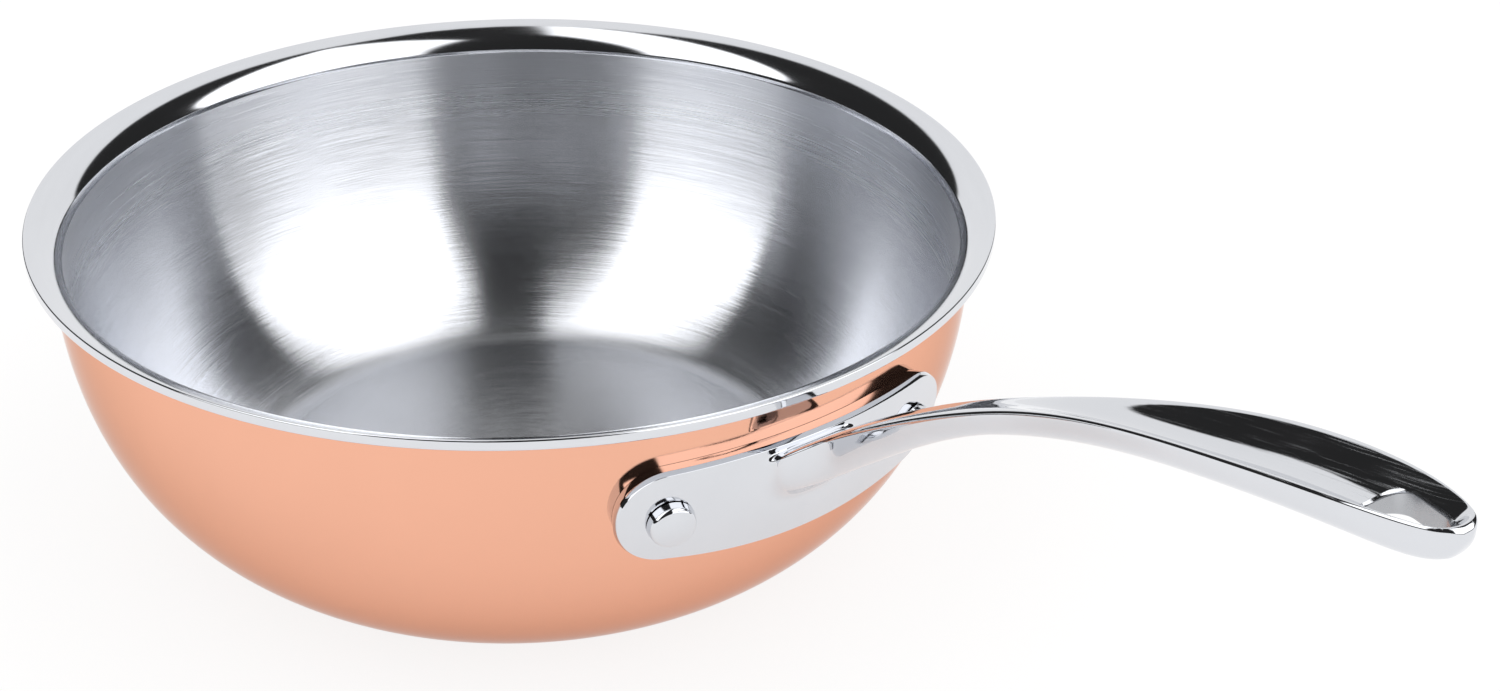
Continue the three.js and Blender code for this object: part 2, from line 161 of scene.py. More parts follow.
class PanHandle(bpy.types.PropertyGroup):
    """Sizes of the cast handle and its bracket"""

    clearance: length("Clearance", 0.3, "Room behind the bracket that its front is set out from")
    thickness: length("Thickness", 4.3, "Thickness of the bracket")
    gap: length("Gap", 0.08, "From the copper to the back of the bracket as it is seated")
    wing: length("Wing", 12.8, "Radius of the bracket's round ends")
    crown: length("Crown", 0.6, "How far the bracket's upper edge arches up")
    sag: length("Sag", 2.5, "How far the bracket's lower edge hangs down")
    edge: length("Edge", 1.35, "How far the bracket's front edge is bevelled back")
    edge_drop: length("Edge drop", 0.6, "How far that bevel is drawn in from the bracket's outline")
    edge_round: number("Edge round", 1.8, "Power of that bevel: 2 is straight, 1 is a quarter round")
    back_inset: length("Back inset", 0.45, "How far the bracket's back is drawn in from its outline")
    fillet: length("Fillet", 3, "Fillet between bracket and bar")
    fillet_spread: number("Fillet spread", 0.75, "Share of the fillet that lies on the bracket's front")
    root_drop: length("Root drop", 15.6, "Top of the lip down to the top line at the bracket")
    tip_rise: length("Tip rise", 52, "Top of the lip up to the tip")
    reach: length("Reach", 172, "Bracket to tip, level")
    rise_angle: angle("Rise angle", 38.4, "Slope of the top line at the bracket")
    rise_fullness: number("Rise fullness", 0.57, "Top line's tangent there, as a share of its chord")
    tip_angle: angle("Tip angle", -4.6, "Slope of the top line at the tip")
    tip_fullness: number("Tip fullness", 0.1, "Top line's tangent there, as a share of its chord")
    root_width: length("Root width", 24.7, "Width at the bracket")
    neck_width: length("Neck width", 10.5, "Width of the neck")
    grip_width: length("Grip width", 22.7, "Width of the grip")
    root_depth: length("Root depth", 12.5, "Upright thickness at the bracket")
    neck_depth: length("Neck depth", 7.3, "Upright thickness of the neck")
    grip_depth: length("Grip depth", 10.4, "Upright thickness towards the tip")
    tip_depth: length("Tip depth", 5.6, "Upright thickness at the very tip")
    shoulder: length("Shoulder", 2.6, "Top line down to the widest place of a section")
    flare_length: length("Flare length", 16.5, "From the bracket to where the root has become the neck")
    neck_length: length("Neck length", 60, "From the bracket to where the neck starts to widen")
    widest_back: length("Widest place", 41, "From the tip back to the widest place")
    tip_round: length("Tip round", 42, "Length of the oval end")
    tip_firmness: number("Tip firmness", 2.3, "Superellipse power of that end, seen from above")
    tip_turn: number("Tip turn", 10, "Power of the underside's turn up to the tip")
    end_round: length("End round", 2.2, "Rounding of the very tip")
    edge_firmness: number("Edge firmness", 4, "Superellipse power of a section's upper half")
    under_firmness: number("Under firmness", 2.6, "Superellipse power of a section's lower half")
    dish_depth: length("Dish depth", 6.4, "Depth of the hollow along the grip")
    dish_rim: length("Dish rim", 0.55, "Level rim beside the hollow")
    dish_valley: number("Dish valley", 0.6, "How widely the hollow's valley is rounded")
    dish_softness: number("Dish softness", 0.05, "How softly the hollow runs out at its rim")
    dish_start: length("Dish start", 48, "From the bracket to where the hollow starts")
    dish_run: length("Dish run", 78, "Length over which the hollow gets its depth")
    dish_end: length("Dish end", 6.5, "Length over which the hollow runs out at the tip")
    hole_length: length("Hole length", 17, "Length of the hanging hole")
    hole_width: length("Hole width", 11.2, "Width of the hole towards the bowl")
    hole_tip_width: length("Hole tip width", 8.4, "Width of the hole towards the tip")
    hole_end_wall: length("Hole end wall", 5, "Metal left between hole and tip")
    hole_round: length("Hole round", 0.8, "Rounding of the hole's rim")
    hole_flare: angle("Hole flare", 40, "Turn of that rounding where it runs out into the surface")


class PanFinish(bpy.types.PropertyGroup):
    """Colours of the metals"""

    copper: colour("Copper", (0.84, 0.44, 0.305), "Polished copper")
    copper_edge: colour("Copper edge", (0.8, 0.68, 0.62), "Tint of the copper where it is seen edge-on")
    steel: colour("Steel", (0.69, 0.703, 0.735), "Stainless steel")
    aluminium: colour("Aluminium", (0.6, 0.61, 0.62), "Rolled aluminium")
    floor: colour("Floor", (0.92, 0.92, 0.92), "Table that the pan stands on")


class PanStage(bpy.types.PropertyGroup):
    """Camera and light"""

    lens: length("Focal length", 57.6, "For a sensor 36 mm wide")
    camera: FloatVectorProperty(
        name="Camera", description="Place of the camera", default=(0.4863, -0.3085, 0.3614), size=3,
        subtype="XYZ", unit="LENGTH",
    )
    azimuth: angle("Azimuth", 51.4, "Turn of the view about the upright")
    elevation: angle("Elevation", 28.97, "How far the view looks down")
    roll: angle("Roll", 1.26, "Turn of the camera about its own axis")
    wall: number("Wall", 1, "Brightness of the wall behind the pan, as a share of white")
    wall_left: angle("Wall's left end", 146, "Turn from the camera to the left end of that wall")
    wall_right: angle("Wall's right end", 149, "Turn from the camera to the right end of that wall")
    wall_top: angle("Wall top", 73, "Elevation of that wall's top")
    softbox: number("Softbox", 1.8, "Brightness of the two softboxes, as a share of white")
    softbox_near: angle("Softbox near end", 30, "Turn from the camera to the near end of each softbox")
    softbox_lean: angle("Softbox lean", 72, "Slope of the softboxes' far ends")
    left_bottom: angle("Left bottom", 18, "Greatest elevation of the left softbox's lower edge")
    left_far: angle("Left far end", 66.5, "Turn from the camera to the left softbox's far end")
    left_top: angle("Left top", 86, "Greatest elevation of the left softbox's top")
    left_middle: angle("Left middle", 90, "Turn from the camera to that place of its top")
    right_bottom: angle("Right bottom", 1, "Greatest elevation of the right softbox's lower edge")
    right_far: angle("Right far end", 92.5, "Turn from the camera to the right softbox's far end")
    right_top: angle("Right top", 78, "Greatest elevation of the right softbox's top")
    right_middle: angle("Right middle", 85, "Turn from the camera to that place of its top")
    dark: number("Dark", 0.025, "Brightness of the rest of the room, as a share of white")
    table_reach: length("Table reach", 3000, "Middle of the table to its edges")
    table_gap: length("Table gap", 0.2, "From the table up to the base")


# Curves and surfaces

def mix(start, end, share):
    """The value a share of the way from start to end."""
    return start + (end - start) * share


def smoothstep(value, low, high):
    """0 up to low, 1 from high, and 3t^2 - 2t^3 between."""
    t = np.clip((value - low) / (high - low), 0, 1)
    return t * t * (3 - 2 * t)


def firm_arch(share, firmness):
    """Height of a superellipse of reach 1 at a share of that reach: (1 - t^p)^(1/p)."""
    return (1 - share**firmness) ** (1 / firmness)


def heading(turn):
    """Unit vector at a turn from the first axis."""
    return np.array([math.cos(turn), math.sin(turn)])


def full_turn(count):
    """Turns evenly once round, without the last one."""
    return 2 * math.pi * np.arange(count) / count


def line(start, end, count):
    """Points evenly along a straight line."""
    return np.linspace(start, end, count)


def arc(centre, radius, start, end, count):
    """Points of a circle from one turn to another."""
    turn = np.linspace(start, end, count)[:, None]
    return np.asarray(centre) + radius * np.concatenate([np.cos(turn), np.sin(turn)], axis=1)


def bezier(controls, count):
    """Points of a Bezier curve: its control points, each times its Bernstein weight."""
    controls = np.asarray(controls, float)
    order = len(controls) - 1
    power = np.arange(order + 1)
    t = np.linspace(0, 1, count)[:, None]
    weight = np.array([math.comb(order, k) for k in power])
    return (weight * t**power * (1 - t) ** (order - power)) @ controls


def path_lengths(path):
    """Length along a path up to each of its points: the sum of the steps before it."""
    step = np.linalg.norm(np.diff(path, axis=0), axis=1)
    return np.concatenate([[0], np.cumsum(step)])


def path_points(path, lengths, place):
    """Points of a path at places along it, straight between its own points."""
    return np.stack([np.interp(place, lengths, path[:, k]) for k in range(2)], axis=-1)


def offset_line(points, distance):
    """A meridian moved outwards, each point by a distance square to the line there."""
    along = np.gradient(points, axis=0)
    along /= np.linalg.norm(along, axis=1, keepdims=True)
    return points + distance * np.stack([along[:, 1], -along[:, 0]], axis=1)


def skin_of_rings(rings, first, last):
    """Closed skin: quads between neighbouring rings and a fan of triangles from each end's pole."""
    count, around = rings.shape[:2]
    points = np.concatenate([[first], rings.reshape(-1, 3), [last]])
    index = 1 + np.arange(count * around).reshape(count, around)
    after = np.roll(index, -1, axis=1)
    quads = np.stack([index[:-1], after[:-1], after[1:], index[1:]], axis=-1).reshape(-1, 4)
    start = np.stack([np.zeros(around, int), after[0], index[0]], axis=-1)
    end = np.stack([np.full(around, len(points) - 1), index[-1], after[-1]], axis=-1)
    return points, [quads, start, end]


def revolve(profile, steps):
    """Profile of (radius, height) turned about Z: (r cos a, r sin a, z). Its two ends lie on the axis."""
    turn = full_turn(steps)
    radius, height = profile[1:-1, 0, None], profile[1:-1, 1, None]
    x, y = radius * np.cos(turn), radius * np.sin(turn)
    rings = np.stack([x, y, np.broadcast_to(height, x.shape)], axis=-1)
    return skin_of_rings(rings, (0, 0, profile[0, 1]), (0, 0, profile[-1, 1]))


def outward(points, faces):
    """Faces turned outwards by the sign of the volume, the sum of a . (b x c) over all triangles."""
    triangles = np.concatenate([f[:, [0, k, k + 1]] for f in faces for k in range(1, f.shape[1] - 1)])
    a, b, c = (points[triangles[:, k]] for k in range(3))
    volume = np.einsum("ij,ij->", a, np.cross(b, c))
    return faces if volume > 0 else [f[:, ::-1] for f in faces]


def new_object(name, points, faces):
    """An object at the origin whose smooth mesh holds the points and faces."""
    faces = outward(points, faces)
    corners = np.concatenate([f.ravel() for f in faces])
    sizes = np.concatenate([np.full(len(f), f.shape[1]) for f in faces])
    mesh = bpy.data.meshes.new(name)
    mesh.vertices.add(len(points))
    mesh.vertices.foreach_set("co", points.astype(np.float32).ravel())
    mesh.loops.add(len(corners))
    mesh.loops.foreach_set("vertex_index", corners.astype(np.int32))
    mesh.polygons.add(len(sizes))
    mesh.polygons.foreach_set("loop_start", (np.cumsum(sizes) - sizes).astype(np.int32))
    mesh.update(calc_edges=True)
    mesh.shade_smooth()
    piece = bpy.data.objects.new(name, mesh)
    bpy.context.scene.collection.objects.link(piece)
    return piece


def cut(piece, cutter):
    """The piece less the cutter, by an exact Boolean that is applied at once."""
    modifier = piece.modifiers.new("cut", "BOOLEAN")
    modifier.operation = "DIFFERENCE"
    modifier.solver = "EXACT"
    modifier.object = cutter
    evaluated = piece.evaluated_get(bpy.context.evaluated_depsgraph_get())
    mesh = bpy.data.meshes.new_from_object(evaluated)
    plain = piece.data
    piece.modifiers.clear()
    piece.data = mesh
    mesh.name = piece.name
    bpy.data.meshes.remove(plain)
    blade = cutter.data
    bpy.data.objects.remove(cutter)
    bpy.data.meshes.remove(blade)


def keep(piece, node, materials):
    """Finishes a piece, stands it in for its node and tells if it strays from that node's box."""
    piece.data.set_sharp_from_angle(angle=SHARP_ANGLE)
    for material in materials:
        piece.data.materials.append(material)
    points = np.empty(len(piece.data.vertices) * 3, np.float32)
    piece.data.vertices.foreach_get("co", points)
    points = points.reshape(-1, 3)
    low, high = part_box(node)
    stray = max(np.abs(points.min(0) - np.array(low)).max(), np.abs(points.max(0) - np.array(high)).max())
    if stray > FIT_TOLERANCE:
        raise RuntimeError(f"{piece.name} lies {stray / MM:.2f} mm off the box of {node}")
    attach(piece, BODY)
    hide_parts(node)
    return piece


# Bowl

def bowl_marks(bowl):
    """Radii and heights that follow from the bowl's sizes."""
    lip_foot = bowl.height - bowl.lip_fall
    return SimpleNamespace(
        wall=bowl.lining + bowl.core + bowl.copper + 2 * bowl.bond_line,
        lip_radius=bowl.mouth_radius + bowl.lip_reach,
        lip_foot=lip_foot,
        belly_top=lip_foot - bowl.upright,
    )


def belly_line(bowl, steps):
    """Inside meridian from the axis to the end of the belly, as (radius, height): a level floor, an arc in
    the corner, and a cubic Bezier that leaves along the belly's slope and ends upright."""
    marks = bowl_marks(bowl)
    slope = heading(bowl.belly_angle)
    tangent = bowl.floor_corner * math.tan(bowl.belly_angle / 2)
    floor_end = np.array([bowl.floor_radius - tangent, marks.wall])
    low = np.array([bowl.floor_radius, marks.wall]) + tangent * slope
    high = np.array([bowl.mouth_radius, marks.belly_top])
    chord = np.linalg.norm(high - low)
    pulls = [low + bowl.belly_fullness * chord * slope, high - [0, bowl.wall_fullness * chord]]
    floor = line((0, marks.wall), floor_end, steps // 2)
    start = -math.pi / 2
    corner = arc(
        floor_end + [0, bowl.floor_corner], bowl.floor_corner, start, start + bowl.belly_angle, steps // 4
    )
    return np.concatenate([floor[:-1], corner[:-1], bezier([low, *pulls, high], steps)])


def lip_underside(bowl, radius):
    """Height of the lip's underside, which falls inwards at its own slope."""
    inwards = bowl_marks(bowl).lip_radius - radius
    return bowl.height - bowl.lip_edge - inwards * math.tan(bowl.lip_underslope)


def lip_line(bowl):
    """Lip in profile: a quadratic Bezier that leaves the wall upright and flares out to the lip's slope,
    the rounded edge and the underside."""
    marks = bowl_marks(bowl)
    top = np.array([marks.lip_radius, bowl.height])
    foot = top - [0, bowl.lip_edge]
    up = np.array([0, bowl.lip_round])
    crossing = (bowl.mouth_radius, bowl.height - bowl.lip_reach * math.tan(bowl.lip_slope))
    flare_end = top - bowl.lip_round * heading(bowl.lip_slope)
    under_start = foot - bowl.lip_round / 2 * heading(bowl.lip_underslope)
    inner = bowl.mouth_radius + bowl.lining
    return np.concatenate([
        bezier([(bowl.mouth_radius, marks.lip_foot), crossing, flare_end], 3 * LIP_STEPS),
        bezier([flare_end, top, top - up], LIP_STEPS)[1:],
        bezier([foot + up / 2, foot, under_start], LIP_STEPS),
        line(under_start, (inner, lip_underside(bowl, inner)), LIP_STEPS)[1:],
    ])


def ply_profile(bowl, near, far):
    """Closed profile of a ply between two distances from the inside, stopping under the lip."""
    inside = belly_line(bowl, MERIDIAN_STEPS)
    radii = bowl.mouth_radius + np.array([near, far])
    rim = np.stack([radii, lip_underside(bowl, radii) - bowl.bond_line], axis=1)
    return np.concatenate([offset_line(inside, near), rim, offset_line(inside, far)[::-1]])


def lining_profile(bowl):
    """Closed profile of the lining: inside, lip, and the outside back to the axis."""
    inside = belly_line(bowl, MERIDIAN_STEPS)
    return np.concatenate([inside, lip_line(bowl), offset_line(inside, bowl.lining)[::-1]])


def copper_outside(bowl):
    """Meridian of the copper's outside, the inside moved out by the wall."""
    return offset_line(belly_line(bowl, FINE), bowl_marks(bowl).wall)


def wall_radius(bowl, height):
    """Radius of the copper's outside at a height, read from its meridian."""
    outside = copper_outside(bowl)
    return np.interp(height, outside[:, 1], outside[:, 0])


# Rivets

def rivet_place(bowl, rivets, side):
    """Foot of a rivet on the copper and its three axes, the last one out along the wall's normal."""
    height = bowl.height - rivets.drop
    radius = wall_radius(bowl, height)
    lean = (wall_radius(bowl, height + MM) - wall_radius(bowl, height - MM)) / (2 * MM)
    turn = side * math.asin(rivets.pitch / 2 / radius)
    foot = np.array([*radius * heading(turn), height])
    out = np.array([*heading(turn), -lean])
    out /= np.linalg.norm(out)
    across = np.array([-math.sin(turn), math.cos(turn), 0])
    return foot, np.stack([across, np.cross(out, across), out])


def placed(points, place):
    """Points given in a rivet's own axes, put in their place on the bowl."""
    foot, axes = place
    return foot + points @ axes


def rivet_profile(bowl, rivets, handle):
    """Rivet as (radius, distance out from the copper): a domed crown, a round shoulder and an inner dome,
    each a quadratic Bezier, with straight sides and the shank between."""
    head, shank, inner = rivets.head_radius, rivets.shank_radius, rivets.inner_radius
    seat = handle.clearance + handle.thickness + rivets.seat
    top = seat + rivets.head_height
    brow = np.array([rivets.crown_radius, top - rivets.crown_rise])
    collar_radius = mix(rivets.crown_radius, head, rivets.collar_spread)
    collar = np.array([collar_radius, mix(seat, top, rivets.collar_level)])
    foot = np.array([head, mix(seat, top, rivets.foot_level)])
    bend = (mix(brow[0], collar[0], rivets.shoulder_hold), brow[1] - rivets.shoulder_sink)
    hollow = inner**2 / bowl.mouth_radius
    inner_seat = -bowl_marks(bowl).wall - rivets.seat - hollow
    inner_top = inner_seat - rivets.inner_height
    return np.concatenate([
        bezier([(0, top), (brow[0] / 2, top), brow], LIP_STEPS),
        bezier([brow, bend, collar], LIP_STEPS)[1:],
        line(collar, foot, LIP_STEPS)[1:],
        [(head - rivets.undercut, seat), (shank, seat), (shank, inner_seat)],
        bezier([(inner, inner_seat), (inner, inner_top), (0, inner_top)], LIP_STEPS),
    ])


def drills(bowl, rivets, handle):
    """Points and faces of two cylinders that bore the rivet holes, long enough to go well past plies and
    bracket on both sides."""
    reach = 4 * (bowl_marks(bowl).wall + handle.clearance + handle.thickness)
    radius = rivets.shank_radius + rivets.shank_clearance
    profile = np.array([(0, -reach), (radius, -reach), (radius, reach), (0, reach)])
    points, faces = revolve(profile, RIVET_STEPS)
    sides = [placed(points, rivet_place(bowl, rivets, side)) for side in (-1, 1)]
    return np.concatenate(sides), [f + k * len(points) for k in range(2) for f in faces]


# Handle

def handle_marks(bowl, rivets, handle):
    """Places that follow from the sizes of bowl, rivets and handle."""
    rivet_height = bowl.height - rivets.drop
    root_height = bowl.height - handle.root_drop
    front = handle.clearance + handle.thickness
    radius = float(wall_radius(bowl, rivet_height))
    root = np.array([float(wall_radius(bowl, root_height)) + front, root_height])
    tip = np.array([root[0] + handle.reach, bowl.height + handle.tip_rise])
    chord = np.linalg.norm(tip - root)
    start = root + handle.rise_fullness * chord * heading(handle.rise_angle)
    end = tip - handle.tip_fullness * chord * heading(handle.tip_angle)
    return SimpleNamespace(
        front=front,
        radius=radius,
        rivet_height=rivet_height,
        wing=radius * math.asin(rivets.pitch / 2 / radius),
        outside=copper_outside(bowl),
        root=root,
        top_line=bezier([root, start, end, tip], FINE),
    )


def bent(marks, flat, distance):
    """Flat (arc, height) points bent round the bowl at a distance out from the copper."""
    reach = np.interp(flat[..., 1], marks.outside[:, 1], marks.outside[:, 0]) + distance
    turn = flat[..., 0] / marks.radius
    return np.stack([reach * np.cos(turn), reach * np.sin(turn), flat[..., 1]], axis=-1)


def unbent(marks, points):
    """The flat (arc, height) points of points in space, and their distance out from the copper."""
    turn = np.arctan2(points[..., 1], points[..., 0])
    reach = np.interp(points[..., 2], marks.outside[:, 1], marks.outside[:, 0])
    flat = np.stack([turn * marks.radius, points[..., 2]], axis=-1)
    return flat, np.hypot(points[..., 0], points[..., 1]) - reach


def bracket_outline(handle, marks, inset, turn):
    """Outline of the bracket laid flat and drawn in by an inset, at turns counted from its right end over
    the top: round wings about the rivets, an upper edge that arches and a lower edge that hangs down."""
    wing, middle = marks.wing, marks.rivet_height
    round_end = handle.wing - inset
    head, foot = middle + round_end, middle - round_end
    quarter = math.pi / 2
    path = np.concatenate([
        arc((wing, middle), round_end, 0, quarter, FINE),
        bezier([(wing, head), (0, head + 2 * handle.crown), (-wing, head)], FINE),
        arc((-wing, middle), round_end, quarter, 3 * quarter, FINE),
        bezier([(-wing, foot), (0, foot - 2 * handle.sag), (wing, foot)], FINE),
        arc((wing, middle), round_end, -quarter, 0, FINE),
    ])
    lengths = path_lengths(path)
    top, left, bottom = FINE // 2 + FINE * np.arange(1, 4)
    place = np.interp(turn, quarter * np.arange(5), lengths[[0, top, left, bottom, -1]])
    return path_points(path, lengths, place)


def top_height(handle, marks, out):
    """Height of the top line at a distance out from the bracket, straight on behind the bracket."""
    behind = marks.root[1] + out * math.tan(handle.rise_angle)
    ahead = np.interp(out, marks.top_line[:, 0] - marks.root[0], marks.top_line[:, 1])
    return np.where(out < 0, behind, ahead)


def bar_sizes(handle, out):
    """Half width, depth and depth of the dish at a distance out from the bracket. Smooth steps lead from
    one size to the next, and a superellipse closes the oval end."""
    left = handle.reach - out
    oval = np.clip(1 - left / handle.tip_round, 0, 1)
    flare = (1 - smoothstep(out, 0, handle.flare_length)) ** 2
    neck = mix(handle.neck_width, handle.root_width, flare)
    widening = smoothstep(out, handle.neck_length, handle.reach - handle.widest_back)
    half = mix(neck, handle.grip_width, widening) / 2 * firm_arch(oval, handle.tip_firmness)
    slim = mix(handle.root_depth, handle.neck_depth, smoothstep(out, 0, handle.neck_length))
    swell = np.maximum(0, out - handle.neck_length) / (handle.reach - handle.neck_length)
    depth = mix(mix(slim, handle.grip_depth, swell), handle.tip_depth, oval**handle.tip_turn)
    start = smoothstep(out, handle.dish_start, handle.dish_start + handle.dish_run)
    end = smoothstep(left, handle.dish_rim, handle.dish_rim + handle.dish_end)
    return half, depth, handle.dish_depth * start * end


def dish_share(handle, half, across):
    """Share of the dish's depth at a place across the grip: a hyperbola, 1 - (r(t) - r(0)) / (r(1) - r(0))
    with r(t) = sqrt(t^2 + k^2), so two slopes that meet in a rounded valley and end softly at the rim."""
    k = handle.dish_valley
    t = across / np.maximum(half - handle.dish_rim, handle.dish_rim)
    level = 1 - (np.hypot(t, k) - k) / (math.hypot(1, k) - k)
    return (level + np.hypot(level, handle.dish_softness)) / 2


def bar_skin(handle, marks, out, turn):
    """Skin of the bar at a distance out and a turn round its section: a superellipse, firm above its widest
    place and softer below, less the dish in its top, and rounded in to a point at the very end."""
    half, depth, dish = bar_sizes(handle, out)
    top = top_height(handle, marks, out)
    across, up = np.cos(turn), np.sin(turn)
    power = np.where(up > 0, handle.edge_firmness, handle.under_firmness)
    size = (np.abs(across) ** power + np.abs(up) ** power) ** (1 / power)
    reach = np.where(up > 0, handle.shoulder, depth - handle.shoulder)
    y = half * across / size
    z = top - handle.shoulder + reach * up / size
    z = z - np.where(up > 0, dish * dish_share(handle, half, y), 0)
    end = np.clip(1 - (handle.reach - out) / handle.end_round, 0, 1)
    middle = top - handle.tip_depth / 2
    z = middle + (z - middle) * np.sqrt(1 - end**2)
    return np.stack([marks.root[0] + out + 0 * y, y, z], axis=-1)


def root_ring(handle, marks, turn):
    """How far out the bar's skin passes through the front of the bracket, at each turn round it."""
    out = np.linspace(-handle.root_width, handle.fillet, FINE // 4)[:, None]
    _, distance = unbent(marks, bar_skin(handle, marks, out, turn))
    first = np.argmax(distance > marks.front, axis=0)
    column = np.arange(len(turn))
    before, after = distance[first - 1, column], distance[first, column]
    share = (marks.front - before) / (after - before)
    return mix(out[first - 1, 0], out[first, 0], share)


def bracket_rings(handle, marks, turn):
    """Rings over the bracket's back, from near its middle, and round its bevelled edge to its front. The
    bevel draws in by 1 - cos^p and stands back by 1 - sin^p of a turn from 0 to a quarter."""
    centre = np.array([0, marks.rivet_height])
    back = bracket_outline(handle, marks, handle.back_inset, turn)
    shares = np.linspace(1 / (BACK_ROWS + 1), 1, BACK_ROWS)
    rings = [bent(marks, mix(centre, back, share), handle.gap) for share in shares]
    for bend in np.linspace(0, math.pi / 2, FILLET_ROWS):
        inset = handle.edge_drop * (1 - math.cos(bend) ** handle.edge_round)
        distance = marks.front - handle.edge * (1 - math.sin(bend) ** handle.edge_round)
        rings.append(bent(marks, bracket_outline(handle, marks, inset, turn), distance))
    return rings


def fillet_foot(handle, flat, edge):
    """Where the fillet leaves the bracket's front: a way off the line on which the bar passes through it,
    square to that line, and under the bracket's upper edge."""
    along = np.roll(flat, -1, axis=0) - np.roll(flat, 1, axis=0)
    normal = np.stack([along[:, 1], -along[:, 0]], axis=-1)
    normal /= np.linalg.norm(normal, axis=-1, keepdims=True)
    foot = flat + handle.fillet_spread * handle.fillet * normal
    upper = edge[: SECTION_STEPS // 2][::-1]
    ceiling = np.interp(foot[:, 0], upper[:, 0], upper[:, 1]) - handle.edge_drop / 2
    foot[:, 1] = np.minimum(foot[:, 1], ceiling)
    return foot


def root_rings(handle, marks, meet, turn):
    """Rings over the bracket's front and up the fillet to the bar: a quadratic Bezier from the fillet's
    foot to the bar's skin, pulled to where that skin meets the front."""
    corner = bar_skin(handle, marks, meet, turn)
    flat, _ = unbent(marks, corner)
    edge = bracket_outline(handle, marks, handle.edge_drop, turn)
    foot = fillet_foot(handle, flat, edge)
    shares = np.linspace(0, 1, BRACKET_ROWS)[1:]
    rings = [bent(marks, mix(edge, foot, share), marks.front) for share in shares]
    start = rings[-1]
    finish = bar_skin(handle, marks, meet + handle.fillet, turn)
    for t in np.linspace(0, 1, FILLET_ROWS)[1:-1]:
        rings.append((1 - t) ** 2 * start + 2 * t * (1 - t) * corner + t**2 * finish)
    return rings


def bar_rings(handle, marks, leave, turn):
    """Rings along the bar from where the fillet leaves it, and ever closer together over its oval end."""
    tip_start = handle.reach - handle.tip_round
    shares = np.linspace(0, 1, BAR_ROWS)
    rings = [bar_skin(handle, marks, mix(leave, tip_start, share), turn) for share in shares]
    for bend in np.linspace(0, math.pi / 2, TIP_ROWS)[1:-1]:
        out = tip_start + handle.tip_round * math.sin(bend)
        rings.append(bar_skin(handle, marks, np.full_like(turn, out), turn))
    return rings


def casting_skin(bowl, rivets, handle):
    """One closed skin of rings that start in the middle of the bracket's back, go round its edge, over its
    front, up a fillet and along the bar to the tip."""
    marks = handle_marks(bowl, rivets, handle)
    turn = full_turn(SECTION_STEPS)
    meet = root_ring(handle, marks, turn)
    rings = [
        *bracket_rings(handle, marks, turn),
        *root_rings(handle, marks, meet, turn),
        *bar_rings(handle, marks, meet + handle.fillet, turn),
    ]
    back = bent(marks, np.array([0, marks.rivet_height]), handle.gap)
    tip = marks.top_line[-1]
    return skin_of_rings(np.stack(rings), back, (tip[0], 0, tip[1] - handle.tip_depth / 2))


def hole_outline(handle, spread, turn):
    """Egg-shaped outline of the hole, (out, across), grown by a spread: two arcs and the lines that touch
    them."""
    wide, narrow = handle.hole_width / 2, handle.hole_tip_width / 2
    far = handle.reach - handle.hole_end_wall - narrow
    near = handle.reach - handle.hole_end_wall - handle.hole_length + wide
    side = math.acos((wide - narrow) / (far - near))
    path = np.concatenate([
        arc((far, 0), narrow + spread, -side, side, FINE),
        arc((near, 0), wide + spread, side, 2 * math.pi - side, FINE),
        arc((far, 0), narrow + spread, -side, -side, 1),
    ])
    lengths = path_lengths(path)
    return path_points(path, lengths, turn / (2 * math.pi) * lengths[-1])


def hole_skin(bowl, rivets, handle):
    """Cutter for the hanging hole: rings that flare out over a part of a quarter round at the grip's top
    and underside, and straight on past them."""
    marks = handle_marks(bowl, rivets, handle)
    turn = full_turn(HOLE_STEPS)
    ends = hole_outline(handle, 0, np.array([0, math.pi]))[:, 0]
    lean = np.diff(top_height(handle, marks, ends))[0] / np.diff(ends)[0]
    past = 2 * handle.hole_round * heading(handle.hole_flare)
    bends = np.linspace(handle.hole_flare, math.pi / 2, LIP_STEPS)
    spread = handle.hole_round * (1 - np.sin(bends))
    sunk = handle.hole_round * (1 - np.cos(bends))
    spread = np.concatenate([[spread[0] + past[0]], spread])
    sunk = np.concatenate([[sunk[0] - past[1]], sunk])

    def ring(grow, sink, under):
        """Ring of the hole grown sideways and sunk below the top or above the underside."""
        flat = hole_outline(handle, grow, turn)
        half, depth, dish = bar_sizes(handle, flat[:, 0])
        top = top_height(handle, marks, flat[:, 0])
        aside = np.clip(np.abs(flat[:, 1]) / np.maximum(half, MM), 0, 1)
        belly = (depth - handle.shoulder) * firm_arch(aside, handle.under_firmness)
        high = top - dish * dish_share(handle, half, flat[:, 1]) - sink
        low = top - handle.shoulder - belly + sink
        z = low if under else high
        lean_back = (top - z) * lean
        return np.stack([marks.root[0] + flat[:, 0] + lean_back, flat[:, 1], z], axis=-1)

    upper = [ring(grow, sink, False) for grow, sink in zip(spread, sunk)]
    lower = [ring(grow, sink, True) for grow, sink in zip(spread[::-1], sunk[::-1])]
    rings = np.stack(upper + lower)
    lift = np.array([0, 0, handle.grip_depth])
    return skin_of_rings(rings, rings[0].mean(0) + lift, rings[-1].mean(0) - lift)


def handle_cutter(bowl, rivets, handle):
    """The hanging hole and the rivet holes as one cutting body."""
    points, faces = hole_skin(bowl, rivets, handle)
    drill_points, drill_faces = drills(bowl, rivets, handle)
    faces = outward(points, faces) + [f + len(points) for f in outward(drill_points, drill_faces)]
    return np.concatenate([points, drill_points]), faces


# Finishes

def add(tree, kind, inputs=None, **options):
    """A node with its options set, and each input set to a value or linked to another node's output."""
    node = tree.nodes.new(kind)
    for name, value in options.items():
        setattr(node, name, value)
    for name, value in (inputs or {}).items():
        if isinstance(value, bpy.types.NodeSocket):
            tree.links.new(value, node.inputs[name])
        else:
            node.inputs[name].default_value = value
    return node


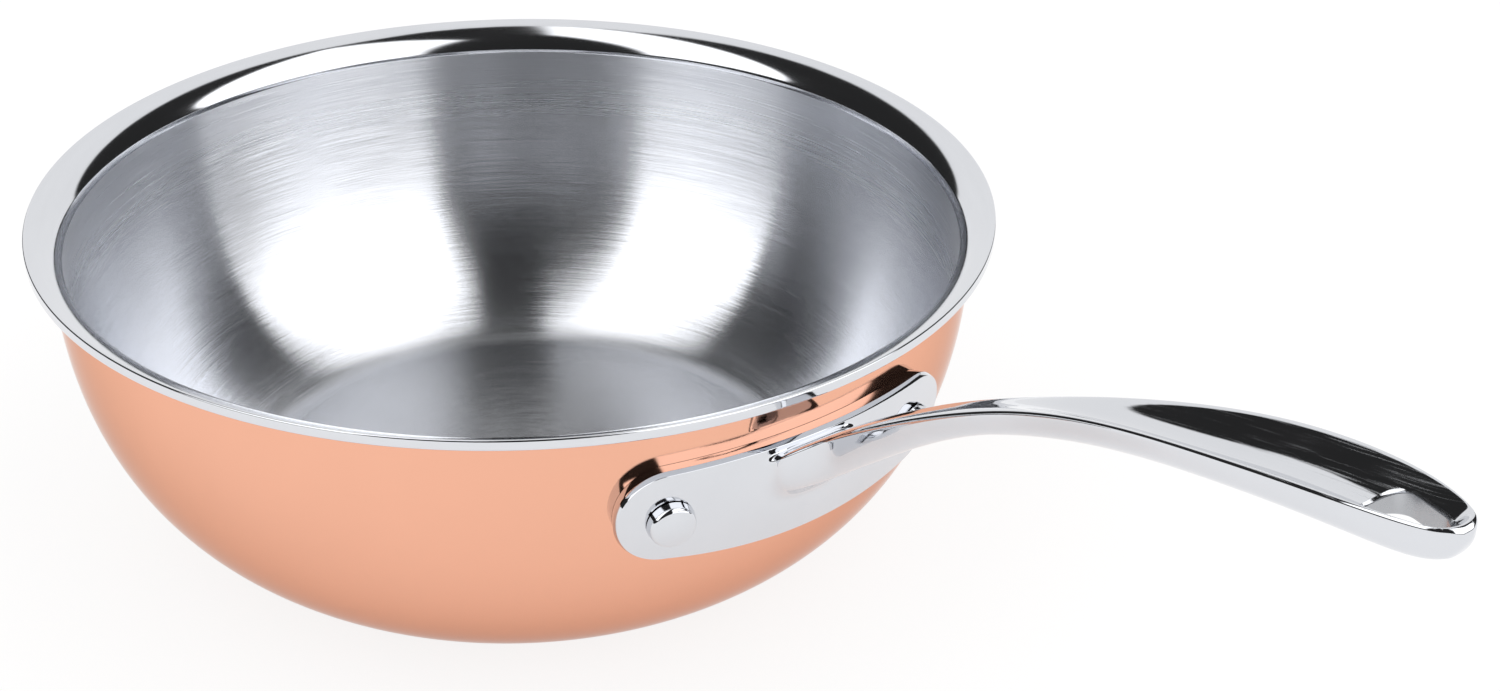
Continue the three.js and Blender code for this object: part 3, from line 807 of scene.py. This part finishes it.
def feed(tree, sockets, **sources):
    """Links each source to the socket that its name spells."""
    for name, source in sources.items():
        tree.links.new(source, sockets[name.replace("_", " ").title()])


def calc(tree, operation, *values):
    """Output of a Math node."""
    return add(tree, "ShaderNodeMath", dict(enumerate(values)), operation=operation).outputs["Value"]


def vector(tree, operation, *values):
    """Output of a Vector Math node that gives a vector."""
    return add(tree, "ShaderNodeVectorMath", dict(enumerate(values)), operation=operation).outputs["Vector"]


def measure(tree, operation, *values):
    """Output of a Vector Math node that gives a number."""
    return add(tree, "ShaderNodeVectorMath", dict(enumerate(values)), operation=operation).outputs["Value"]


def scaled(tree, value, factor):
    """A vector times a number."""
    node = add(tree, "ShaderNodeVectorMath", {0: value, "Scale": factor}, operation="SCALE")
    return node.outputs["Vector"]


def coordinate(tree, value, axis):
    """One coordinate of a vector."""
    return add(tree, "ShaderNodeSeparateXYZ", {0: value}).outputs[axis]


def own_place(tree):
    """Place on the piece, in its Object coordinates."""
    return add(tree, "ShaderNodeTexCoord").outputs["Object"]


def own_normal(tree):
    """Normal of the piece's surface."""
    return add(tree, "ShaderNodeNewGeometry").outputs["Normal"]


def stretch(tree, value, low, high):
    """A value from 0 to 1 stretched to run from low to high."""
    return add(tree, "ShaderNodeMapRange", {"Value": value, "To Min": low, "To Max": high}).outputs[0]


def ramp(tree, value, ends, levels):
    """A value's smooth step between two levels, from one end to the other."""
    inputs = dict(zip(("From Min", "From Max", "To Min", "To Max"), (*ends, *levels)))
    node = add(tree, "ShaderNodeMapRange", {"Value": value, **inputs}, interpolation_type="SMOOTHSTEP")
    return node.outputs[0]


def noise(tree, place, **inputs):
    """Output of a Noise Texture at a place, its other inputs given by name."""
    named = {name.capitalize(): value for name, value in inputs.items()}
    return add(tree, "ShaderNodeTexNoise", {"Vector": place, **named}).outputs["Fac"]


def shades(tree, factor, rgb, low, high):
    """A colour that runs, by a factor, from one share of itself to another. A Mix node's inputs 6 and 7 and
    its output 2 are its colours."""
    node = add(tree, "ShaderNodeMix", {"Factor": factor}, data_type="RGBA")
    for socket, share in ((node.inputs[6], low), (node.inputs[7], high)):
        socket.default_value = (*(min(1, value * share) for value in rgb), 1)
    return node.outputs[2]


def group_tree(name, inputs, outputs):
    """An empty node group with its named inputs and outputs, and its two end nodes."""
    tree = bpy.data.node_groups.new(name, "ShaderNodeTree")
    for label, value in inputs.items():
        socket = tree.interface.new_socket(label, in_out="INPUT", socket_type="NodeSocketFloat")
        socket.default_value = value
    for label, kind in outputs.items():
        tree.interface.new_socket(label, in_out="OUTPUT", socket_type=kind)
    return tree, tree.nodes.new("NodeGroupInput").outputs, tree.nodes.new("NodeGroupOutput").inputs


def round_the_axis(tree):
    """Unit vector round the axis, the unit vector out from it, and the sum of radius and height."""
    place = own_place(tree)
    flat = vector(tree, "MULTIPLY", place, (1, 1, 0))
    out = vector(tree, "NORMALIZE", flat)
    climb = calc(tree, "ADD", measure(tree, "LENGTH", flat), coordinate(tree, place, "Z"))
    return vector(tree, "CROSS_PRODUCT", (0, 0, 1), out), out, climb


def turned_lines():
    """Brush lines that run round the pan: noise drawn out round the axis. Fine lines tilt the normal across
    themselves, by the groove, and wider streaks tilt it along them, by the waver."""
    tree, given, result = group_tree(
        "turned_lines",
        {"Lines per metre": 1500, "Streaks round": 14, "Groove": 0.1, "Waver": 0.02},
        {"Line": "NodeSocketFloat", "Streak": "NodeSocketFloat", "Normal": "NodeSocketVector"},
    )
    grain = {"scale": 1, "detail": 2, "roughness": 0.6}
    middle, streak_size, streak_shift = 0.5, (0.6, 0.6, 0.12), (7, 3, 5)
    around, out, climb = round_the_axis(tree)
    climb = calc(tree, "MULTIPLY", climb, given["Lines per metre"])
    rows = add(tree, "ShaderNodeCombineXYZ", {"Z": climb}).outputs["Vector"]
    place = vector(tree, "ADD", scaled(tree, out, given["Streaks round"]), rows)
    fine = noise(tree, place, **grain)
    streak = noise(tree, vector(tree, "MULTIPLY_ADD", place, streak_size, streak_shift), **grain)
    normal = own_normal(tree)
    rise = vector(tree, "CROSS_PRODUCT", normal, around)
    groove = calc(tree, "MULTIPLY", calc(tree, "SUBTRACT", fine, middle), given["Groove"])
    waver = calc(tree, "MULTIPLY", calc(tree, "SUBTRACT", streak, middle), given["Waver"])
    tilted = vector(tree, "ADD", normal, scaled(tree, rise, groove))
    tilted = vector(tree, "ADD", tilted, scaled(tree, around, waver))
    feed(tree, result, line=fine, streak=streak, normal=vector(tree, "NORMALIZE", tilted))
    return tree


def handling_marks():
    """Soft smears and fine scuffs left by wiping: one wide noise and one fine noise drawn out along X."""
    tree, given, result = group_tree(
        "handling_marks",
        {"Smears per metre": 18, "Scuffs per metre": 900},
        {"Smear": "NodeSocketFloat", "Scuff": "NodeSocketFloat"},
    )
    scuff_size, contrast = (0.06, 1, 1), (-0.5, 1.5)
    place = own_place(tree)
    smear = noise(tree, place, scale=given["Smears per metre"], detail=3, distortion=0.6)
    drawn_out = vector(tree, "MULTIPLY", place, scuff_size)
    scuff = noise(tree, drawn_out, scale=given["Scuffs per metre"], detail=2)
    feed(tree, result, smear=stretch(tree, smear, *contrast), scuff=scuff)
    return tree


def shared(maker):
    """The node group of a maker, made the first time it is asked for."""
    return bpy.data.node_groups.get(maker.__name__) or maker()


def placed_group(tree, maker, **values):
    """Outputs of a shared group, placed in a material with its own values."""
    inputs = {name.replace("_", " ").capitalize(): value for name, value in values.items()}
    return add(tree, "ShaderNodeGroup", inputs, node_tree=shared(maker)).outputs


def metal(name):
    """A new material, its node tree, and the inputs of its Principled BSDF, which is set to metal."""
    material = bpy.data.materials.new(name)
    material.use_nodes = True
    shader = material.node_tree.nodes["Principled BSDF"]
    shader.inputs["Metallic"].default_value = 1
    return material, material.node_tree, shader.inputs


def brushed_steel(finish, floor, mouth):
    """Steel brushed round the bowl: light drawn out across the brush lines, with soft streaks. The cooking
    floor's colour is darkened as painted shade, and up the wall the brushing grows coarser from the belly
    to the mouth."""
    material, tree, shader = metal("brushed_steel")
    # Painted shade: the colour of the cooking floor is darkened to 0.55 of the steel.
    floor_edge, floor_painted_shade = (floor + 0.5 * MM, floor + 4 * MM), 0.55
    fine_up_to, coarse_from = mix(floor, mouth, 0.25), mix(floor, mouth, 0.9)
    height = coordinate(tree, own_place(tree), "Z")
    painted_floor_shade = ramp(tree, height, floor_edge, (floor_painted_shade, 1))
    coarse = ramp(tree, height, (fine_up_to, coarse_from), (0, 1))
    marks = placed_group(
        tree, turned_lines,
        lines_per_metre=26000, streaks_round=4, groove=stretch(tree, coarse, 0.9, 2.3), waver=0.05,
    )
    base = scaled(tree, shades(tree, marks["Line"], finish.steel, 1.1, 1.25), painted_floor_shade)
    rough = calc(tree, "MULTIPLY_ADD", coarse, 0.07, stretch(tree, marks["Streak"], 0.19, 0.24))
    around, _, _ = round_the_axis(tree)
    across = vector(tree, "CROSS_PRODUCT", own_normal(tree), around)
    feed(tree, shader, base_color=base, roughness=rough, normal=marks["Normal"], tangent=across)
    shader["Anisotropic"].default_value = 1
    return material


def lip_steel(finish):
    """Steel of the lip and the band under it, polished round the bowl to a mirror."""
    material, tree, shader = metal("lip_steel")
    marks = placed_group(
        tree, turned_lines, lines_per_metre=2600, streaks_round=9, groove=0.02, waver=0.002,
    )
    base = shades(tree, marks["Streak"], finish.steel, 0.97, 1.03)
    rough = stretch(tree, marks["Line"], 0.05, 0.12)
    feed(tree, shader, base_color=base, roughness=rough, normal=marks["Normal"])
    return material


def polished_copper(finish):
    """Copper polished round the bowl, with faint hairlines and a soft drift of colour."""
    material, tree, shader = metal("polished_copper")
    lines = placed_group(
        tree, turned_lines, lines_per_metre=1800, streaks_round=6, groove=0.012, waver=0.003,
    )
    wiped = placed_group(tree, handling_marks, smears_per_metre=14, scuffs_per_metre=700)
    base = shades(tree, wiped["Smear"], finish.copper, 0.97, 1.03)
    rough = stretch(tree, lines["Streak"], 0.06, 0.13)
    feed(tree, shader, base_color=base, roughness=rough, normal=lines["Normal"])
    shader["Specular Tint"].default_value = (*finish.copper_edge, 1)
    return material


def polished_steel(finish):
    """Steel of the casting and the rivets: a mirror with fine scuffs along the handle."""
    material, tree, shader = metal("polished_steel")
    wiped = placed_group(tree, handling_marks, smears_per_metre=25, scuffs_per_metre=1400)
    base = shades(tree, wiped["Smear"], finish.steel, 0.96, 1.01)
    rough = stretch(tree, wiped["Scuff"], 0.02, 0.08)
    scuffs = {"Strength": 0.05, "Distance": 0.05 * MM, "Height": wiped["Scuff"]}
    bump = add(tree, "ShaderNodeBump", scuffs).outputs["Normal"]
    feed(tree, shader, base_color=base, roughness=rough, normal=bump)
    return material


def dish_mask(tree, handle, root, place, level):
    """1 in the dish and 0 elsewhere: what faces up, fading in along the grip as the dish gets deeper."""
    start = root + handle.dish_start + handle.dish_run / 3
    along = ramp(tree, coordinate(tree, place, "X"), (start, start + handle.dish_run), (0, 1))
    return calc(tree, "MULTIPLY", along, ramp(tree, level, (0.5, 0.7), (0, 1)))


def hole_mask(tree, handle, root, place, level):
    """1 on the hole's walls and 0 elsewhere: what stands upright inside an ellipse round the hole."""
    margin = 0.5 * MM
    middle = root + handle.reach - handle.hole_end_wall - handle.hole_length / 2
    shares = (1 / (handle.hole_length / 2 + margin), 1 / (handle.hole_width / 2 + margin), 0)
    away = vector(tree, "MULTIPLY", vector(tree, "SUBTRACT", place, (middle, 0, 0)), shares)
    inside = ramp(tree, measure(tree, "LENGTH", away), (0.98, 1.04), (1, 0))
    return calc(tree, "MULTIPLY", inside, ramp(tree, calc(tree, "ABSOLUTE", level), (0.4, 0.6), (1, 0)))


def cast_steel(finish, handle, root):
    """The casting's steel: polished, but with brush lines left along the dish, as noise drawn out along X,
    and duller walls in the hole, whose colour is also darkened as painted shade."""
    material = polished_steel(finish)
    material.name = "cast_steel"
    tree = material.node_tree
    shader = tree.nodes["Principled BSDF"].inputs
    line_size, line_scale, wall_roughness, hole_painted_shade = (0.02, 1, 0), 2600, 0.22, 0.62
    place = own_place(tree)
    level = coordinate(tree, own_normal(tree), "Z")
    lines = noise(tree, vector(tree, "MULTIPLY", place, line_size), scale=line_scale, detail=2)
    lines = ramp(tree, lines, (0.45, 0.75), (0, 0.3))
    brushed = calc(tree, "MULTIPLY", dish_mask(tree, handle, root, place, level), lines)
    walls = hole_mask(tree, handle, root, place, level)
    polish, bright = (shader[name].links[0].from_socket for name in ("Roughness", "Base Color"))
    rough = calc(tree, "MULTIPLY_ADD", walls, wall_roughness, calc(tree, "ADD", polish, brushed))
    # Painted shade: the colour of the hole's walls is darkened to 0.62 of the steel.
    base = scaled(tree, bright, stretch(tree, walls, 1, hole_painted_shade))
    feed(tree, shader, base_color=base, roughness=rough)
    return material


def rolled_aluminium(finish):
    """Dull aluminium with the fine lines of the rolls."""
    material, tree, shader = metal("rolled_aluminium")
    wiped = placed_group(tree, handling_marks, smears_per_metre=30, scuffs_per_metre=1100)
    base = shades(tree, wiped["Scuff"], finish.aluminium, 0.9, 1.08)
    feed(tree, shader, base_color=base, roughness=stretch(tree, wiped["Smear"], 0.4, 0.55))
    return material


def pale_table(finish):
    """White table: seen as white and mirrored as pale, with a share of real light left to hold the pan's
    shadow."""
    material = bpy.data.materials.new("pale_table")
    material.use_nodes = True
    tree = material.node_tree
    tree.nodes.clear()
    seen_share, mirrored_share = 0.85, 0.5
    mottle = add(tree, "ShaderNodeTexNoise", {"Scale": 3, "Detail": 2}).outputs["Fac"]
    base = shades(tree, mottle, finish.floor, 0.99, 1.01)
    matt = add(tree, "ShaderNodeBsdfDiffuse", {"Color": base}).outputs[0]
    white = add(tree, "ShaderNodeEmission", {"Strength": 1}).outputs[0]
    path = add(tree, "ShaderNodeLightPath").outputs
    seen = calc(tree, "MULTIPLY", path["Is Camera Ray"], seen_share)
    mirrored = calc(tree, "MULTIPLY", path["Is Glossy Ray"], mirrored_share)
    factor = calc(tree, "MAXIMUM", seen, mirrored)
    both = add(tree, "ShaderNodeMixShader", {0: factor, 1: matt, 2: white}).outputs[0]
    add(tree, "ShaderNodeOutputMaterial", {"Surface": both})
    return material


# Stage

def panel(tree, ray, brightness, edges):
    """A bright panel of the room: the rays on the inner side of every edge, each edge a plane through the
    pan given by its inward normal and by the softness of the step across it."""
    level = brightness
    for normal, softness in edges:
        inward = measure(tree, "DOT_PRODUCT", ray, tuple(normal))
        level = calc(tree, "MULTIPLY", level, ramp(tree, inward, (-softness, softness), (0, 1)))
    return level


def studio_world(stage):
    """White to the camera and the table. In the metal: a white wall behind the pan, a softbox on each side
    of the camera and a dark room between and above them, laid out by turns from the camera."""
    world = bpy.data.worlds.new("studio")
    world.use_nodes = True
    tree = world.node_tree
    tree.nodes.clear()
    ray = add(tree, "ShaderNodeTexCoord").outputs["Generated"]
    path = add(tree, "ShaderNodeLightPath").outputs
    up, square = np.array([0, 0, 1]), math.pi / 2
    facing = stage.azimuth - square

    def aim(turn):
        """Level direction at a turn from the camera."""
        return np.array([*heading(facing + turn), 0])

    def below(turn, top):
        """Inward normal of a top edge that is highest at a turn from the camera."""
        return aim(turn) * math.sin(top) - up * math.cos(top)

    def above(turn, bottom):
        """Inward normal of a lower edge that is highest at a turn from the camera."""
        return up * math.cos(bottom) - aim(turn) * math.sin(bottom)

    soft, crisp = 0.04, 0.02
    level = panel(tree, ray, stage.wall, [
        (aim(stage.wall_right + square), crisp),
        (aim(-stage.wall_left - square), crisp),
        (below(math.pi, stage.wall_top), crisp),
    ])
    softboxes = (
        (-1, stage.left_far, stage.left_middle, stage.left_top, stage.left_bottom),
        (1, stage.right_far, stage.right_middle, stage.right_top, stage.right_bottom),
    )
    for side, far, middle, top, bottom in softboxes:
        softbox = panel(tree, ray, stage.softbox, [
            (aim(side * (stage.softbox_near + square)), soft),
            (above(side * (far + square), stage.softbox_lean), crisp),
            (below(side * middle, top), crisp),
            (above(side * middle, bottom), crisp),
        ])
        level = calc(tree, "MAXIMUM", level, softbox)
    level = calc(tree, "MAXIMUM", level, stage.dark)
    white = calc(tree, "MAXIMUM", path["Is Camera Ray"], path["Is Diffuse Ray"])
    shown = calc(tree, "MAXIMUM", level, white)
    background = add(tree, "ShaderNodeBackground", {"Color": (1, 1, 1, 1), "Strength": shown})
    add(tree, "ShaderNodeOutputWorld", {"Surface": background.outputs[0]})
    return world


def studio_camera(stage):
    """Camera at the photograph's place, turned about the upright, tilted down and rolled."""
    data = bpy.data.cameras.new("camera")
    data.sensor_width = SENSOR_WIDTH
    data.lens = stage.lens / MM
    camera = bpy.data.objects.new("camera", data)
    turn = Matrix.Rotation(stage.azimuth, 4, "Z") @ Matrix.Rotation(math.pi / 2 - stage.elevation, 4, "X")
    camera.matrix_world = Matrix.Translation(stage.camera) @ turn @ Matrix.Rotation(stage.roll, 4, "Z")
    bpy.context.scene.collection.objects.link(camera)
    bpy.context.scene.camera = camera
    return camera


# Operators

def settings(context):
    """The scene's settings for bowl, rivets, handle and finish."""
    scene = context.scene
    return scene.pan_bowl, scene.pan_rivets, scene.pan_handle, scene.pan_finish


def add_ply(context, name, profile, materials):
    """A ply turned from its profile, bored for the rivets and kept in place of its node."""
    bowl, rivets, handle, _ = settings(context)
    piece = new_object(f"{name}_skin", *revolve(profile, BOWL_STEPS))
    cut(piece, new_object("drills", *drills(bowl, rivets, handle)))
    return keep(piece, name, materials)


class PAN_OT_lining(bpy.types.Operator):
    """Add the steel lining with its flared, polished lip"""

    bl_idname = "pan.lining"
    bl_label = "Steel Lining"

    def execute(self, context):
        bowl, _, _, finish = settings(context)
        finishes = [brushed_steel(finish, bowl_marks(bowl).wall, bowl.height), lip_steel(finish)]
        piece = add_ply(context, "steel_lining", lining_profile(bowl), finishes)
        centres = np.empty(len(piece.data.polygons) * 3, np.float32)
        piece.data.polygons.foreach_get("center", centres)
        on_lip = centres[2::3] > bowl.height - bowl.polish
        piece.data.polygons.foreach_set("material_index", on_lip.astype(np.int32))
        return {"FINISHED"}


class PAN_OT_core(bpy.types.Operator):
    """Add the aluminium ply between steel and copper"""

    bl_idname = "pan.core"
    bl_label = "Aluminium Core"

    def execute(self, context):
        bowl, _, _, finish = settings(context)
        near = bowl.lining + bowl.bond_line
        profile = ply_profile(bowl, near, near + bowl.core)
        add_ply(context, "aluminium_core", profile, [rolled_aluminium(finish)])
        return {"FINISHED"}


class PAN_OT_shell(bpy.types.Operator):
    """Add the polished copper ply outside"""

    bl_idname = "pan.shell"
    bl_label = "Copper Shell"

    def execute(self, context):
        bowl, _, _, finish = settings(context)
        far = bowl_marks(bowl).wall
        profile = ply_profile(bowl, far - bowl.copper, far)
        add_ply(context, "copper_shell", profile, [polished_copper(finish)])
        return {"FINISHED"}


class PAN_OT_handle(bpy.types.Operator):
    """Add the cast handle with its bracket, dish and hanging hole"""

    bl_idname = "pan.handle"
    bl_label = "Cast Handle"

    def execute(self, context):
        bowl, rivets, handle, finish = settings(context)
        piece = new_object("handle_casting", *casting_skin(bowl, rivets, handle))
        cut(piece, new_object("hole_and_drills", *handle_cutter(bowl, rivets, handle)))
        root = handle_marks(bowl, rivets, handle).root[0]
        keep(piece, "handle", [cast_steel(finish, handle, root)])
        return {"FINISHED"}


class PAN_OT_rivets(bpy.types.Operator):
    """Add the two rivets through the bracket's wings"""

    bl_idname = "pan.rivets"
    bl_label = "Rivets"

    def execute(self, context):
        bowl, rivets, handle, finish = settings(context)
        points, faces = revolve(rivet_profile(bowl, rivets, handle), RIVET_STEPS)
        steel = polished_steel(finish)
        for node, side in (("rivet_left", -1), ("rivet_right", 1)):
            piece = new_object(f"{node}_turned", placed(points, rivet_place(bowl, rivets, side)), faces)
            keep(piece, node, [steel])
        return {"FINISHED"}


class PAN_OT_stage(bpy.types.Operator):
    """Add the table, the studio light and the camera"""

    bl_idname = "pan.stage"
    bl_label = "Table, Light and Camera"

    def execute(self, context):
        stage, finish = context.scene.pan_stage, context.scene.pan_finish
        corners = stage.table_reach * np.array([(-1, -1, 0), (1, -1, 0), (1, 1, 0), (-1, 1, 0)])
        table = new_object("table", corners - [0, 0, stage.table_gap], [np.array([[0, 1, 2, 3]])])
        table.data.materials.append(pale_table(finish))
        context.scene.world = studio_world(stage)
        context.scene.view_settings.view_transform = "Standard"
        studio_camera(stage)
        return {"FINISHED"}


class PAN_PT_panel(bpy.types.Panel):
    """Lists the pan's pieces and settings in the sidebar"""

    bl_label = "Saute Pan"
    bl_idname = "PAN_PT_panel"
    bl_space_type = "VIEW_3D"
    bl_region_type = "UI"
    bl_category = "Saute Pan"

    def draw(self, context):
        for operator in OPERATORS:
            self.layout.operator(operator.bl_idname)
        for name in SETTINGS:
            group = getattr(context.scene, name)
            box = self.layout.box()
            box.label(text=group.bl_rna.description)
            for field in group.__annotations__:
                box.prop(group, field)


SETTINGS = {
    "pan_bowl": PanBowl,
    "pan_rivets": PanRivets,
    "pan_handle": PanHandle,
    "pan_finish": PanFinish,
    "pan_stage": PanStage,
}
OPERATORS = (PAN_OT_lining, PAN_OT_core, PAN_OT_shell, PAN_OT_handle, PAN_OT_rivets, PAN_OT_stage)


def register():
    """Registers the classes and hangs the settings on the scene."""
    for entry in (*SETTINGS.values(), *OPERATORS, PAN_PT_panel):
        bpy.utils.register_class(entry)
    for name, group in SETTINGS.items():
        setattr(bpy.types.Scene, name, PointerProperty(type=group))


def unregister():
    """Takes the settings off the scene and unregisters the classes."""
    for name in SETTINGS:
        delattr(bpy.types.Scene, name)
    for entry in (PAN_PT_panel, *OPERATORS, *SETTINGS.values()):
        bpy.utils.unregister_class(entry)


def main():
    """Builds the pan and its stage."""
    register()
    bpy.ops.pan.lining()
    bpy.ops.pan.core()
    bpy.ops.pan.shell()
    bpy.ops.pan.handle()
    bpy.ops.pan.rivets()
    bpy.ops.pan.stage()


if __name__ == "__main__":
    main()
